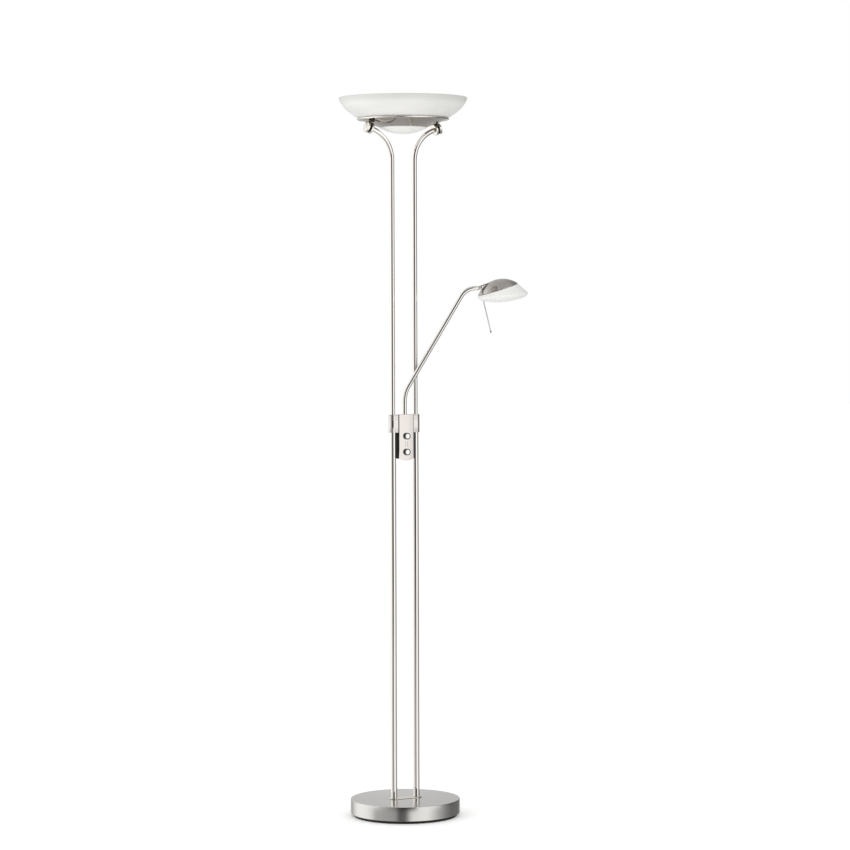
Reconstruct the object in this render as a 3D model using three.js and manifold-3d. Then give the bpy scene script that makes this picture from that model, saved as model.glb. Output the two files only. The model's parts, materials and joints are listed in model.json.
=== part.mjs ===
// Twin-pole torchiere floor lamp with a swivelling reading arm.
// Millimetres, +Z up. The origin is the centre of the base's underside; the poles stand at x = -32 and +32
// and the switch box faces -Y.
import * as THREE from 'three';
import { mergeVertices } from 'three/addons/utils/BufferGeometryUtils.js';
import Module from 'manifold-3d';

const wasm = await Module();
wasm.setup();

// ---------------------------------------------------------------- driving dimensions

const GAP = 0.3; // between pieces that touch
const HEIGHT = 1812; // rim of the bowl

const BASE_R = 138.25;
const BASE_TOP = 43;
const COVER_EDGE = 7.5; // lower edge of the cover's side
const COVER_SHEET = 1.5;
const PAD_R = 131;
const GLAND_Z = 20;

const POLE_X = 32; // each pole's distance from the middle
const LOWER_R = 8;
const UPPER_R = 6;
const TUBE_WALL = 1;
const STUD_R = 5;
const STUD_BORE = 3.2;
const FOOT_PLATE_TOP = 45.3;
const POLE_SPLIT = 1012; // where the upper tube takes over from the lower

const BEND_R = 81; // outward bend at the top of each pole
const BEND_Z = 1655.2;
const BEND_TURN = 72; // degrees

const BOX_TOP = 1016.6;
const BAND_BOTTOM = 971;
const BAND_R = 10.85; // round each pole
const BAND_WALL = 1;
const CAP_SHEET = 2.7;
const PLATE_WIDTH = 42.5;
const PLATE_BOTTOM = 900;
const PLATE_ARC_R = 39; // rounded lower end
const HOUSING = { halfWidth: 19, front: -10.9, back: 9.2, bottom: 905, top: 970.6, wall: 2 };
const KNOB_R = 8.5;
const KNOB_Z = { uplight: 962, reading: 922 };
const SHAFT_R = 3;

const ARM_Y = -3.8; // the arm's vertical axis stands a little in front of the poles
const ARM_AZIMUTH = -17; // degrees from +X
const ARM_R = 5.5;
const ARM_CORNERS = [[0, 1070.4], [158.9, 1334]]; // [reach, height] where its straight runs would meet
const ARM_END = [191.6, 1334];
const ARM_BENDS = [76, 44];

const HEAD_CENTRE = [241, 1332]; // [reach, height] of the centre of the cap's rim
const HEAD_TILT = 17.5; // degrees, the outer side up
const CAP_R = 52;
const CAP_RISE = 24;
const CAP_SPHERE = (CAP_R ** 2 + CAP_RISE ** 2) / (2 * CAP_RISE);
const PIVOT = [199, 1336]; // [reach, height] of the head's tilting axis
const SHADE_R = 64.5; // widest circle of the head's glass
const SHADE_CENTRE = [7.8, -18.75]; // of that circle, in the head's frame
const SHADE_LEAN = 12.6; // degrees, its outer side down
const SHADE_DEPTH = 17.6;
const SHADE_WALL = 3.6;
const ROD = { top: [-43, 2.6], bottom: [-50.2, -100], r: 1.7, tipR: 2, tipLength: 6 }; // in the head's frame

const BOWL_R = 162;
const RING_INNER_R = 60;
const RING_OUTER_R = 112;
const RING_INNER_Z = 1737.8;
const RING_SLOPE = 0.38;
const RING_SHEET = 1.28; // measured upright
const DOME_BOTTOM = 1721;
const LAMP_Z = 1776;

// ---------------------------------------------------------------- solids

/** A closed geometry as a manifold-3d solid whose faces point out. */
function solid(geometry) {
  const loose = geometry.index ? geometry.toNonIndexed() : geometry;
  const bare = new THREE.BufferGeometry().setAttribute('position', loose.getAttribute('position'));
  const merged = mergeVertices(bare, 1e-3);
  const triVerts = new Uint32Array(merged.index.array);
  const vertProperties = new Float32Array(merged.getAttribute('position').array);
  const made = new wasm.Manifold(new wasm.Mesh({ numProp: 3, vertProperties, triVerts }));
  if (made.volume() > 0) return made;
  return new wasm.Manifold(new wasm.Mesh({ numProp: 3, vertProperties, triVerts: triVerts.reverse() }));
}

/** The geometry of a manifold-3d solid. */
function geometryOf(body) {
  const mesh = body.getMesh();
  const positions = new Float32Array(mesh.numVert * 3);
  for (let i = 0; i < mesh.numVert; i++) {
    positions.set(mesh.vertProperties.subarray(i * mesh.numProp, i * mesh.numProp + 3), i * 3);
  }
  const geometry = new THREE.BufferGeometry();
  geometry.setAttribute('position', new THREE.BufferAttribute(positions, 3));
  geometry.setIndex(new THREE.BufferAttribute(mesh.triVerts, 1));
  return geometry;
}

const cut = (body, ...tools) => tools.reduce((left, tool) => left.subtract(tool), body);
const join = (...bodies) => bodies.reduce((sum, body) => sum.add(body));

const v2 = (x, y) => new THREE.Vector2(x, y);
const v3 = (x, y, z) => new THREE.Vector3(x, y, z);

/** Turned about Z. The profile holds [radius, height] points: a closed loop, or one that ends on the axis. */
function turned(profile, segments = 24) {
  const loop = profile.map(([r, z]) => v2(r, z));
  const onAxis = profile[0][0] === 0 && profile.at(-1)[0] === 0;
  if (!onAxis) loop.push(loop[0].clone());
  return solid(new THREE.LatheGeometry(loop, segments).rotateX(Math.PI / 2));
}

const disc = (r, low, high, segments) => turned([[0, low], [r, low], [r, high], [0, high]], segments);

const ring = (inner, outer, low, high, segments) =>
  turned([[inner, low], [outer, low], [outer, high], [inner, high]], segments);

const block = (x0, x1, y0, y1, z0, z1) => solid(
  new THREE.BoxGeometry(x1 - x0, y1 - y0, z1 - z0)
    .translate((x0 + x1) / 2, (y0 + y1) / 2, (z0 + z1) / 2),
);

/** A solid moved by a matrix. */
const placed = (body, matrix) => body.transform(matrix.elements);
const moved = (body, x, y, z) => body.translate([x, y, z]);

const TO_Y = new THREE.Matrix4().makeRotationX(-Math.PI / 2); // Z to +Y
const TO_X = new THREE.Matrix4().makeRotationY(Math.PI / 2); // Z to +X

/** A flat outline in X and Y, raised along Z. */
function raised(shape, low, high, curveSegments = 10) {
  const options = { depth: high - low, bevelEnabled: false, curveSegments };
  return solid(new THREE.ExtrudeGeometry(shape, options).translate(0, 0, low));
}

/** A flat outline in X and Z, run along Y. */
function runAlongY(shape, low, high, curveSegments = 12) {
  const options = { depth: high - low, bevelEnabled: false, curveSegments };
  return solid(new THREE.ExtrudeGeometry(shape, options).rotateX(Math.PI / 2).translate(0, high, 0));
}

const polygon = (points) => new THREE.Shape(points.map(([x, y]) => v2(x, y)));

/** A stadium round both poles. */
function stadium(radius) {
  const shape = new THREE.Shape();
  shape.absarc(POLE_X, 0, radius, -Math.PI / 2, Math.PI / 2);
  shape.absarc(-POLE_X, 0, radius, Math.PI / 2, 1.5 * Math.PI);
  return shape;
}

/** A path whose sections stand exactly at the given stations. */
class StationPath extends THREE.Curve {
  constructor(stations) {
    super();
    this.stations = stations;
  }

  station(t) {
    return this.stations[Math.round(t * (this.stations.length - 1))];
  }

  getPointAt(t, target = v3(0, 0, 0)) {
    return target.copy(this.station(t).point);
  }

  getTangentAt(t, target = v3(0, 0, 0)) {
    return target.copy(this.station(t).tangent);
  }
}

/** Stations along straight runs through the points, with a bend of the given radius at each inner one. */
function bentStations(points, radii, stepDegrees = 15) {
  const stations = [];
  let heading = points[1].clone().sub(points[0]).normalize();
  stations.push({ point: points[0], tangent: heading });
  radii.forEach((radius, i) => {
    const corner = points[i + 1];
    const next = points[i + 2].clone().sub(corner).normalize();
    const turn = heading.angleTo(next);
    const side = next.clone().addScaledVector(heading, -next.dot(heading)).normalize();
    const start = corner.clone().addScaledVector(heading, -radius * Math.tan(turn / 2));
    const steps = Math.ceil(turn / THREE.MathUtils.degToRad(stepDegrees));
    for (let k = 0; k <= steps; k++) {
      const angle = (turn * k) / steps;
      const point = start.clone()
        .addScaledVector(heading, radius * Math.sin(angle))
        .addScaledVector(side, radius * (1 - Math.cos(angle)));
      const tangent = heading.clone().multiplyScalar(Math.cos(angle)).addScaledVector(side, Math.sin(angle));
      stations.push({ point, tangent });
    }
    heading = next;
  });
  stations.push({ point: points.at(-1), tangent: heading });
  return stations;
}

/** A round tube along the stations. */
function tube(stations, outer, inner, sides = 16) {
  const section = new THREE.Shape();
  section.absarc(0, 0, outer, 0, 2 * Math.PI);
  const hollow = new THREE.Path();
  hollow.absarc(0, 0, inner, 0, 2 * Math.PI, true);
  section.holes.push(hollow);
  const options = {
    extrudePath: new StationPath(stations),
    steps: stations.length - 1,
    curveSegments: sides / 2,
  };
  return solid(new THREE.ExtrudeGeometry(section, options));
}

// ---------------------------------------------------------------- materials

const FINISH = {
  satin_nickel: { color: 0xb6b2a9, roughness: 0.34, metalness: 1 },
  chrome: { color: 0xdcdcdc, roughness: 0.12, metalness: 1 },
  cast_iron: { color: 0x45464a, roughness: 0.85, metalness: 0.6 },
  zinc_steel: { color: 0xa9adb0, roughness: 0.45, metalness: 1 },
  brass: { color: 0xc8a961, roughness: 0.35, metalness: 1 },
  aluminium: { color: 0xcfd1d3, roughness: 0.3, metalness: 1 },
  black_plastic: { color: 0x161616, roughness: 0.55, metalness: 0 },
  black_rubber: { color: 0x111111, roughness: 0.8, metalness: 0 },
  white_glass: { color: 0xeeece6, roughness: 0.35, metalness: 0 },
  clear_glass: { color: 0xe8f0f0, roughness: 0.05, metalness: 0 },
  ceramic: { color: 0xe9e4d8, roughness: 0.6, metalness: 0 },
};

const lamp = new THREE.Group();

/** Adds one named piece to a group. */
function piece(group, name, finish, body) {
  const mesh = new THREE.Mesh(geometryOf(body), new THREE.MeshStandardMaterial(FINISH[finish]));
  mesh.name = name;
  group.add(mesh);
  return mesh;
}

const SIDES = [['left', -1], ['right', 1]];

// ---------------------------------------------------------------- base

const studHoles = SIDES.map(([, s]) => moved(disc(STUD_R + GAP, 0, 60, 16), s * POLE_X, 0, 0));

function makeBase() {
  const innerR = BASE_R - COVER_SHEET;
  const innerTop = BASE_TOP - COVER_SHEET;
  const shell = turned([
    [0, BASE_TOP],
    [BASE_R - 2, BASE_TOP],
    [BASE_R - 0.6, BASE_TOP - 0.6],
    [BASE_R, BASE_TOP - 2],
    [BASE_R, COVER_EDGE],
    [innerR, COVER_EDGE],
    [innerR, innerTop - 1],
    [innerR - 1, innerTop],
    [0, innerTop],
  ], 48);
  const glandHole = moved(placed(disc(5.6, 0, 20, 20), TO_Y), 0, BASE_R - 12, GLAND_Z);
  piece(lamp, 'base_cover', 'satin_nickel', cut(shell, ...studHoles, glandHole));

  const nutPockets = SIDES.map(([, s]) => moved(disc(12.5, 0, 21, 16), s * POLE_X, 0, 0));
  const wireway = block(-POLE_X, POLE_X, -4, 4, 0, 16);
  const cordway = block(-7, 7, -4, BASE_R, 0, 26);
  const weightTop = COVER_EDGE + 15.5;
  const weight = turned([
    [0, COVER_EDGE + GAP],
    [innerR - 1.2, COVER_EDGE + GAP],
    [innerR - 1.2, weightTop],
    [54, weightTop],
    [52, innerTop - 1.3],
    [0, innerTop - 1.3],
  ], 48);
  piece(lamp, 'base_weight', 'cast_iron', cut(weight, ...studHoles, ...nutPockets, wireway, cordway));

  piece(lamp, 'base_pad', 'black_rubber', turned([
    [0, 0],
    [PAD_R - 1, 0],
    [PAD_R, 1],
    [PAD_R, COVER_EDGE],
    [0, COVER_EDGE],
  ], 48));

  const flange = BASE_R + 0.4;
  const gland = turned([
    [3.4, BASE_R - 9],
    [5.2, BASE_R - 9],
    [5.2, flange],
    [8, flange],
    [7.4, flange + 2],
    [5, flange + 2.6],
    [3.4, flange + 2.6],
  ], 20);
  piece(lamp, 'cord_gland', 'black_rubber', moved(placed(gland, TO_Y), 0, 0, GLAND_Z));

  const foot = raised(stadium(13), BASE_TOP + GAP, FOOT_PLATE_TOP);
  piece(lamp, 'pole_foot_plate', 'satin_nickel', cut(foot, ...studHoles));

  const hexagon = [0, 1, 2, 3, 4, 5].map((k) => [9.8 * Math.cos(k * Math.PI / 3), 9.8 * Math.sin(k * Math.PI / 3)]);
  for (const [side, s] of SIDES) {
    const plugR = LOWER_R - TUBE_WALL - GAP;
    const stud = turned([
      [STUD_BORE, 9],
      [STUD_R, 9],
      [STUD_R, FOOT_PLATE_TOP + GAP],
      [plugR, FOOT_PLATE_TOP + GAP],
      [plugR, FOOT_PLATE_TOP + 24],
      [STUD_BORE, FOOT_PLATE_TOP + 24],
    ], 16);
    piece(lamp, `pole_stud_${side}`, 'zinc_steel', moved(stud, s * POLE_X, 0, 0));
    const washer = disc(11, 18.6, 20.6, 24);
    const nut = cut(join(raised(polygon(hexagon), 10.6, 18.7), washer), disc(STUD_R + GAP, 0, 60, 24));
    piece(lamp, `pole_nut_${side}`, 'zinc_steel', moved(nut, s * POLE_X, 0, 0));
  }
}

// ---------------------------------------------------------------- poles

const bendEnd = (() => {
  const turn = THREE.MathUtils.degToRad(BEND_TURN);
  return {
    x: POLE_X + BEND_R * (1 - Math.cos(turn)),
    z: BEND_Z + BEND_R * Math.sin(turn),
    lean: Math.PI / 2 - turn, // of the clamp's axis above level
  };
})();

function makePoles() {
  for (const [side, s] of SIDES) {
    const lower = ring(LOWER_R - TUBE_WALL, LOWER_R, FOOT_PLATE_TOP + GAP, POLE_SPLIT, 24);
    piece(lamp, `pole_lower_${side}`, 'satin_nickel', moved(lower, s * POLE_X, 0, 0));

    const cornerRise = BEND_R * Math.tan(THREE.MathUtils.degToRad(BEND_TURN) / 2);
    const path = bentStations([
      v3(s * POLE_X, 0, POLE_SPLIT + GAP),
      v3(s * POLE_X, 0, BEND_Z + cornerRise),
      v3(s * (bendEnd.x + 0.2 * Math.cos(bendEnd.lean)), 0, bendEnd.z + 0.2 * Math.sin(bendEnd.lean)),
    ], [BEND_R]);
    piece(lamp, `pole_upper_${side}`, 'satin_nickel', tube(path, UPPER_R, UPPER_R - TUBE_WALL));

    const lowPlug = LOWER_R - TUBE_WALL - GAP;
    const highPlug = UPPER_R - TUBE_WALL - GAP;
    const coupler = turned([
      [STUD_BORE, POLE_SPLIT - 28],
      [lowPlug, POLE_SPLIT - 28],
      [lowPlug, POLE_SPLIT],
      [highPlug, POLE_SPLIT],
      [highPlug, POLE_SPLIT + 26],
      [STUD_BORE, POLE_SPLIT + 26],
    ], 16);
    piece(lamp, `pole_coupler_${side}`, 'brass', moved(coupler, s * POLE_X, 0, 0));
  }
}

// ---------------------------------------------------------------- clamps at the pole ends

/** Places a solid turned about Z on the axis of one pole's upper end. */
function onPoleEnd(body, s) {
  const place = new THREE.Matrix4()
    .makeTranslation(s * bendEnd.x, 0, bendEnd.z)
    .multiply(new THREE.Matrix4().makeRotationY(s * (Math.PI / 2 - bendEnd.lean)));
  return placed(body, place);
}

const CLAMP_R = 14.2;
const CLAMP = { collar: [0.6, 6], washer: [6.3, 9], lug: [9.3, 11.3], nut: [11.6, 17.4], cap: 19 };

function makeClamps() {
  const bore = 3.3;
  const spigotR = UPPER_R - TUBE_WALL - 2 * GAP;
  for (const [side, s] of SIDES) {
    const [c0, c1] = CLAMP.collar;
    const collar = turned([
      [bore, -4],
      [spigotR, -4],
      [spigotR, c0],
      [CLAMP_R - 1.2, c0],
      [CLAMP_R, c0 + 1.2],
      [CLAMP_R, c1 - 1.2],
      [CLAMP_R - 1.2, c1],
      [bore, c1],
    ], 20);
    piece(lamp, `clamp_collar_${side}`, 'satin_nickel', onPoleEnd(collar, s));
    piece(lamp, `clamp_washer_${side}`, 'black_rubber', onPoleEnd(ring(bore, 13, ...CLAMP.washer, 20), s));
    const [n0, n1] = CLAMP.nut;
    const nut = turned([
      [bore, n0],
      [CLAMP_R - 1.2, n0],
      [CLAMP_R, n0 + 1.2],
      [CLAMP_R, n1 - 1.2],
      [CLAMP_R - 1.2, n1],
      [7, n1],
      [5.5, CLAMP.cap],
      [0, CLAMP.cap],
      [0, n1 - 0.4],
      [bore, n1 - 0.4],
    ], 20);
    piece(lamp, `clamp_nut_${side}`, 'satin_nickel', onPoleEnd(nut, s));
    piece(lamp, `clamp_screw_${side}`, 'zinc_steel', onPoleEnd(ring(1.6, 3, -10, n1 - 0.8, 16), s));
  }
}

// ---------------------------------------------------------------- bowl

const bowlCurve = new THREE.CubicBezierCurve(
  v2(100, HEIGHT - 57.3),
  v2(128, HEIGHT - 45),
  v2(156, HEIGHT - 26),
  v2(BOWL_R, HEIGHT),
);

const ringTop = (r) => RING_INNER_Z + RING_SHEET + RING_SLOPE * (r - RING_INNER_R);
const ringUnder = (r) => ringTop(r) - RING_SHEET;

/** Points of a curve moved sideways, to the left of its heading. */
function offsetCurve(curve, distance, divisions) {
  const points = [];
  for (let i = 0; i <= divisions; i++) {
    const at = curve.getPoint(i / divisions);
    const heading = curve.getTangent(i / divisions);
    points.push([at.x - heading.y * distance, at.y + heading.x * distance]);
  }
  return points;
}

function makeBowl() {
  const outside = offsetCurve(bowlCurve, 0, 6);
  const inside = offsetCurve(bowlCurve, 4.5, 6).reverse();
  inside[0][1] = HEIGHT;
  piece(lamp, 'bowl_glass', 'white_glass', turned([...outside, ...inside], 44));

  const beadCentre = [RING_OUTER_R + 1.6, ringUnder(RING_OUTER_R) + 0.5];
  const bead = [];
  for (let k = 0; k <= 4; k++) {
    const angle = THREE.MathUtils.degToRad(-110 + k * 60);
    bead.push([beadCentre[0] + 2.4 * Math.cos(angle), beadCentre[1] + 2.4 * Math.sin(angle)]);
  }
  const cone = turned([
    [RING_INNER_R, ringUnder(RING_INNER_R)],
    ...bead,
    [RING_OUTER_R - 1, ringTop(RING_OUTER_R - 1)],
    [RING_INNER_R, ringTop(RING_INNER_R)],
  ], 48);
  const lugs = SIDES.map(([, s]) => {
    const shape = new THREE.Shape();
    shape.moveTo(-20, -8.5);
    shape.absarc(0, 0, 8.5, -Math.PI / 2, Math.PI / 2);
    shape.lineTo(-20, 8.5);
    const plate = onPoleEnd(raised(shape, ...CLAMP.lug), s);
    return s > 0 ? plate : onPoleEnd(raised(shape, ...CLAMP.lug).mirror([1, 0, 0]), s);
  });
  const aboveCone = turned([
    [0, HEIGHT],
    [0, ringTop(0) - 0.4],
    [130, ringTop(130) - 0.4],
    [130, HEIGHT],
  ], 48);
  const lugHoles = SIDES.map(([, s]) => onPoleEnd(disc(3.3, 0, 30, 20), s));
  const lugged = join(cone, ...lugs.map((lug) => cut(lug, aboveCone)));
  piece(lamp, 'bowl_ring', 'satin_nickel', cut(lugged, ...lugHoles));

  const domeRim = RING_INNER_R - 0.8;
  const domeRise = 15;
  const domeSphere = (domeRim ** 2 + domeRise ** 2) / (2 * domeRise);
  const arc = (radius, reach, count) => {
    const points = [];
    for (let k = 0; k <= count; k++) {
      const r = (reach * k) / count;
      points.push([r, DOME_BOTTOM + domeSphere - Math.sqrt(radius ** 2 - r ** 2)]);
    }
    return points;
  };
  const flangeR = RING_INNER_R + 7;
  piece(lamp, 'lower_glass', 'white_glass', turned([
    ...arc(domeSphere, domeRim, 4),
    [domeRim, ringTop(RING_INNER_R) + GAP],
    [flangeR, ringTop(flangeR) + GAP],
    [flangeR, ringTop(flangeR) + 3],
    [domeRim - 1, ringTop(domeRim) + 3],
    ...arc(domeSphere - 3, domeRim - 3.4, 4).reverse(),
  ], 30));
}

// ---------------------------------------------------------------- uplight lamp, inside the bowl

function makeUplight() {
  const legX = 80;
  const footBottom = ringTop(legX) + 0.9;
  const sheet = 1.5;
  const bridgeTop = LAMP_Z - 18;
  const strip = polygon([
    [-legX, footBottom],
    [-legX + 9, footBottom],
    [-legX + 9, footBottom + sheet],
    [-legX + sheet, footBottom + sheet],
    [-legX + sheet, bridgeTop - sheet],
    [legX - sheet, bridgeTop - sheet],
    [legX - sheet, footBottom + sheet],
    [legX - 9, footBottom + sheet],
    [legX - 9, footBottom],
    [legX, footBottom],
    [legX, bridgeTop],
    [-legX, bridgeTop],
  ]);
  piece(lamp, 'lamp_bridge', 'zinc_steel', runAlongY(strip, -13, 13));

  const floor = bridgeTop + GAP;
  const troughTop = LAMP_Z + 9;
  const trough = new THREE.Shape([
    v2(-40, troughTop),
    v2(-14, floor),
    v2(14, floor),
    v2(40, troughTop),
    v2(38.7, troughTop),
    v2(13.5, floor + 1),
    v2(-13.5, floor + 1),
    v2(-38.7, troughTop),
  ]);
  const alongX = new THREE.ExtrudeGeometry(trough, { depth: 108, bevelEnabled: false })
    .rotateX(Math.PI / 2)
    .rotateZ(Math.PI / 2)
    .translate(-54, 0, 0);
  piece(lamp, 'lamp_reflector', 'aluminium', solid(alongX));

  const holderTop = LAMP_Z + 11;
  for (const [side, s] of SIDES) {
    const holder = block(59.2, 76, -9, 9, floor, holderTop);
    const socket = placed(disc(4.6, 50, 64, 20), TO_X);
    const seat = moved(socket, 0, 0, LAMP_Z);
    const made = cut(holder, seat);
    piece(lamp, `uplight_holder_${side}`, 'ceramic', s > 0 ? made : made.mirror([1, 0, 0]));
    const clip = runAlongY(polygon([
      [76.3, LAMP_Z],
      [77.5, LAMP_Z],
      [77.5, holderTop + 5],
      [70, holderTop + 5],
      [70, holderTop + 3.8],
      [76.3, holderTop + 3.8],
    ]), -6, 6);
    piece(lamp, `guard_clip_${side}`, 'zinc_steel', s > 0 ? clip : clip.mirror([1, 0, 0]));
  }

  const half = 63.4;
  const envelope = turned([
    [0, -half],
    [1.6, -half],
    [4, -half + 2],
    [4, -half + 9],
    [5, -half + 11],
    [5, half - 11],
    [4, half - 9],
    [4, half - 2],
    [1.6, half],
    [0, half],
  ], 20);
  piece(lamp, 'linear_lamp', 'clear_glass', moved(placed(envelope, TO_X), 0, 0, LAMP_Z));
  piece(lamp, 'guard_glass', 'clear_glass', block(-75, 75, -42, 42, holderTop + 0.4, holderTop + 3.4));
}

// ---------------------------------------------------------------- switch box

function makeBox() {
  const capBottom = BOX_TOP - CAP_SHEET;
  const poleHoles = (r, low, high) => SIDES.map(([, s]) => moved(disc(r, low, high, 20), s * POLE_X, 0, 0));
  const armHole = (r, low, high) => moved(disc(r, low, high, 20), 0, ARM_Y, 0);

  const bandHole = raised(stadium(BAND_R - BAND_WALL), BAND_BOTTOM - 1, BOX_TOP);
  const band = raised(stadium(BAND_R), BAND_BOTTOM, capBottom - GAP);
  piece(lamp, 'box_band', 'satin_nickel', cut(band, bandHole));

  const coreLow = BAND_BOTTOM + 2;
  const core = raised(stadium(BAND_R - BAND_WALL - GAP), coreLow, capBottom - GAP);
  piece(lamp, 'box_core', 'black_plastic', cut(
    core,
    ...poleHoles(LOWER_R + GAP, 900, 1100),
    armHole(5.4, 900, 1100),
  ));
  const cap = raised(stadium(BAND_R), capBottom, BOX_TOP);
  piece(lamp, 'box_top_cap', 'satin_nickel', cut(
    cap,
    ...poleHoles(UPPER_R + GAP, 900, 1100),
    armHole(ARM_R + GAP, 900, 1100),
  ));
  piece(lamp, 'arm_bush', 'brass', moved(ring(4.15, 5.1, BAND_BOTTOM + 25, capBottom - GAP, 28), 0, ARM_Y, 0));

  const shaftHoles = Object.values(KNOB_Z).map((z) => moved(placed(disc(SHAFT_R + GAP, -30, 0, 20), TO_Y), 0, 0, z));

  const half = PLATE_WIDTH / 2;
  const plateBack = -BAND_R - GAP;
  const edgeFront = plateBack - 1.4;
  const bulge = 1.6;
  const bulgeR = (half ** 2 + bulge ** 2) / (2 * bulge);
  const bulgeAngle = Math.asin(half / bulgeR);
  const section = new THREE.Shape();
  section.moveTo(half, plateBack);
  section.lineTo(-half, plateBack);
  section.absarc(0, edgeFront - bulge + bulgeR, bulgeR, -Math.PI / 2 - bulgeAngle, -Math.PI / 2 + bulgeAngle);
  const front = new THREE.Shape();
  const arcAngle = Math.asin(half / PLATE_ARC_R);
  front.moveTo(half, BOX_TOP);
  front.lineTo(-half, BOX_TOP);
  front.absarc(0, PLATE_BOTTOM + PLATE_ARC_R, PLATE_ARC_R, -Math.PI / 2 - arcAngle, -Math.PI / 2 + arcAngle);
  const plate = raised(section, PLATE_BOTTOM - 1, BOX_TOP).intersect(runAlongY(front, -30, 0));
  piece(lamp, 'front_plate', 'satin_nickel', cut(plate, ...shaftHoles));

  const h = HOUSING;
  const outer = block(-h.halfWidth, h.halfWidth, h.front, h.back, h.bottom, h.top);
  const inner = block(
    -h.halfWidth + h.wall,
    h.halfWidth - h.wall,
    h.front + h.wall,
    h.back + 1,
    h.bottom + h.wall,
    h.top - h.wall,
  );
  piece(lamp, 'dimmer_housing', 'black_plastic', cut(outer, inner, ...shaftHoles));
  const lid = block(-h.halfWidth, h.halfWidth, h.back + GAP, h.back + 2.2, h.bottom, h.top);
  const plug = block(
    -h.halfWidth + h.wall + GAP,
    h.halfWidth - h.wall - GAP,
    h.back - 1.5,
    h.back + 1,
    h.bottom + h.wall + GAP,
    h.top - h.wall - GAP,
  );
  piece(lamp, 'housing_cover', 'black_plastic', join(lid, plug));

  const dimmerFront = h.front + h.wall + GAP;
  const plateFront = edgeFront - bulge;
  for (const [use, z] of Object.entries(KNOB_Z)) {
    const body = block(-7, 7, dimmerFront, dimmerFront + 9, z - 6.2, z + 6.2);
    const bore = moved(placed(disc(SHAFT_R + GAP, -20, dimmerFront + 5, 20), TO_Y), 0, 0, z);
    piece(lamp, `dimmer_${use}`, 'black_plastic', cut(body, bore));
    const face = plateFront - GAP;
    const knob = turned([
      [0, dimmerFront + 4.5],
      [SHAFT_R, dimmerFront + 4.5],
      [SHAFT_R, face],
      [KNOB_R, face],
      [KNOB_R, face - 4.8],
      [KNOB_R - 1.2, face - 6],
      [KNOB_R - 2.6, face - 6],
      [KNOB_R - 3.2, face - 5.2],
      [0, face - 5.2],
    ], 24);
    piece(lamp, `knob_${use}`, 'chrome', moved(placed(knob, TO_Y), 0, 0, z));
  }
}

// ---------------------------------------------------------------- reading arm

// The arm's own frame: its origin on the swivel axis, X along the arm's reach, Z up.
const arm = new THREE.Group();
arm.position.set(0, ARM_Y, 0);
arm.rotation.z = THREE.MathUtils.degToRad(ARM_AZIMUTH);
lamp.add(arm);

function makeArm() {
  const tubeFoot = BOX_TOP - CAP_SHEET + 0.6;
  const inArm = ([reach, height]) => v3(reach, 0, height);
  const path = bentStations(
    [v3(0, 0, tubeFoot), ...ARM_CORNERS.map(inArm), inArm(ARM_END)],
    ARM_BENDS,
  );
  piece(arm, 'reading_arm', 'satin_nickel', tube(path, ARM_R, ARM_R - TUBE_WALL));

  const shoulder = BOX_TOP - CAP_SHEET + 0.3;
  piece(arm, 'arm_stem', 'zinc_steel', turned([
    [2, BAND_BOTTOM + 9],
    [4, BAND_BOTTOM + 9],
    [4, shoulder],
    [4.2, shoulder],
    [4.2, shoulder + 28],
    [2, shoulder + 28],
  ], 20));

  const [pivotX, pivotZ] = PIVOT;
  const [endX, endZ] = ARM_END;
  const stub = moved(placed(disc(ARM_R - TUBE_WALL - 2 * GAP, -9, 0.5, 24), TO_X), endX, 0, endZ);
  const endDisc = moved(placed(disc(ARM_R, 0, 0.9, 24), TO_X), endX + GAP, 0, endZ);
  const tongue = block(endX + 0.6, pivotX, -2.5, 2.5, pivotZ - 3.3, pivotZ + 3.3);
  const nose = moved(placed(disc(3.3, -2.5, 2.5, 24), TO_Y), pivotX, 0, pivotZ);
  const pinHole = moved(placed(disc(2.15, -4, 4, 20), TO_Y), pivotX, 0, pivotZ);
  piece(arm, 'arm_tongue', 'satin_nickel', cut(join(stub, endDisc, tongue, nose), pinHole));
}

// ---------------------------------------------------------------- reading head

// The head's own frame: its origin at the centre of the cap's rim, Z out of the top of the cap.
const head = new THREE.Group();
head.position.set(HEAD_CENTRE[0], 0, HEAD_CENTRE[1]);
head.rotation.y = -THREE.MathUtils.degToRad(HEAD_TILT);
arm.add(head);

/** A point of the arm's plane in the head's frame. */
function inHead([reach, height]) {
  const tilt = THREE.MathUtils.degToRad(HEAD_TILT);
  const dx = reach - HEAD_CENTRE[0];
  const dz = height - HEAD_CENTRE[1];
  return [dx * Math.cos(tilt) + dz * Math.sin(tilt), dz * Math.cos(tilt) - dx * Math.sin(tilt)];
}

/** Points down the cap's dome, from the top to the given reach. */
function domeArc(radius, reach, count) {
  const centre = CAP_RISE - CAP_SPHERE;
  const last = Math.asin(reach / radius);
  const points = [];
  for (let k = 0; k <= count; k++) {
    const angle = (last * k) / count;
    points.push([radius * Math.sin(angle), centre + radius * Math.cos(angle)]);
  }
  points[0][0] = 0;
  return points;
}

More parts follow.
